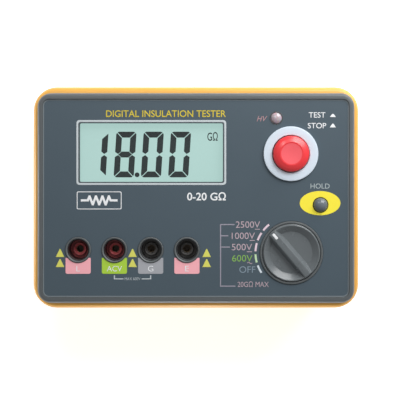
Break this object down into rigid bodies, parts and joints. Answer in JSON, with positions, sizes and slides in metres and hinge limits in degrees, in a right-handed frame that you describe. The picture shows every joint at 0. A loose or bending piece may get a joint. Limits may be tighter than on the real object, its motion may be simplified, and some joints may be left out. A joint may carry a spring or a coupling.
{
  "type": "insulation resistance tester",
  "caption": "Handheld bench insulation tester: deep two-part case, display window, test sockets, latching test button, hold button and rotary range selector.",
  "frame": {"origin": "on the table plane under the centre of the case", "axes": "+Z out of the face panel, +X to the right of the face, +Y to the face's top edge"},
  "size_m": [0.206, 0.14, 0.077],
  "materials": {
    "case_grey": "fine moulded texture, satin",
    "case_orange": "smooth moulded, satin",
    "panel_slate": "fine textured printed film",
    "window_clear": "clear",
    "lcd_glass": "matt polariser",
    "black_plastic": "moulded",
    "elastomer": "smooth",
    "circuit_board": "solder resist, satin",
    "ring_pale": "satin",
    "button_red": "satin",
    "knob_grey": "fine moulded texture",
    "hold_grey": "satin",
    "mark_white": "satin",
    "lamp_lens": "translucent, glossy",
    "socket_red": "satin",
    "foot_rubber": "matt",
    "cell_jacket": "printed film",
    "wire_red": "insulation",
    "wire_black": "insulation",
    "capacitor_film": "moulded case",
    "ferrite": "sintered, matt",
    "copper": "enamelled wire",
    "brass": "turned",
    "steel": "zinc plated",
    "nickel": "nickel plated spring strip",
    "fuse_glass": "clear"
  },
  "bodies": {
    "case": {"rear_case": "case_orange", "front_case": "case_grey", "face_panel": "panel_slate", "case_screw_1": "steel", "case_screw_2": "steel", "case_screw_3": "steel", "case_screw_4": "steel", "board_screw_1": "steel", "board_screw_2": "steel", "test_spring": "steel", "foot_1": "foot_rubber", "foot_2": "foot_rubber", "foot_3": "foot_rubber", "foot_4": "foot_rubber", "cell_1": "cell_jacket", "cell_2": "cell_jacket", "cell_3": "cell_jacket", "cell_4": "cell_jacket", "cell_5": "cell_jacket", "cell_6": "cell_jacket", "battery_contact_positive": "nickel", "battery_contact_link_left": "nickel", "battery_contact_link_right": "nickel", "battery_contact_negative": "nickel", "battery_lead_red": "wire_red", "battery_lead_black": "wire_black", "display_window": "window_clear", "lcd_panel": "lcd_glass", "lcd_frame": "black_plastic", "lcd_connector_upper": "elastomer", "lcd_connector_lower": "elastomer", "main_board": "circuit_board", "converter_board": "circuit_board", "transformer_core": "ferrite", "transformer_coil": "copper", "storage_capacitor": "capacitor_film", "fuse_holder": "black_plastic", "fuse": "fuse_glass", "socket_sleeve_line": "socket_red", "socket_contact_line": "brass", "socket_sleeve_voltage": "socket_red", "socket_contact_voltage": "brass", "socket_sleeve_guard": "black_plastic", "socket_contact_guard": "brass", "socket_sleeve_earth": "black_plastic", "socket_contact_earth": "brass", "voltage_lamp": "lamp_lens", "test_button_ring": "ring_pale", "test_switch_housing": "black_plastic", "hold_switch": "black_plastic"},
    "test_button": {"test_button_cap": "button_red", "test_plunger": "black_plastic"},
    "hold_button": {"hold_button_cap": "hold_grey"},
    "range_selector": {"selector_knob": "knob_grey", "selector_pointer": "mark_white", "selector_rotor": "black_plastic", "selector_wiper": "copper"},
    "battery_door": {"battery_cover": "case_orange", "cover_screw_1": "steel", "cover_screw_2": "steel"}
  },
  "joints": [
    {"name": "test_button_press", "type": "slide", "parent": "case", "child": "test_button", "axis": [0, 0, -1], "range_m": [0, 0.0035], "stiffness_N_per_m": 500, "springref_m": -0.002, "deforming": ["test_spring"]},
    {"name": "hold_button_press", "type": "slide", "parent": "case", "child": "hold_button", "axis": [0, 0, -1], "range_m": [0, 0.0008], "stiffness_N_per_m": 1500, "springref_m": -0.0005},
    {"name": "selector_turn", "type": "hinge", "parent": "case", "child": "range_selector", "pos_m": [0.059, -0.0338, 0.07], "axis": [0, 0, 1], "range_deg": [0, 72]},
    {"name": "battery_cover_lift", "type": "slide", "parent": "case", "child": "battery_door", "axis": [0, 0, -1], "range_m": [0, 0.03]}
  ]
}
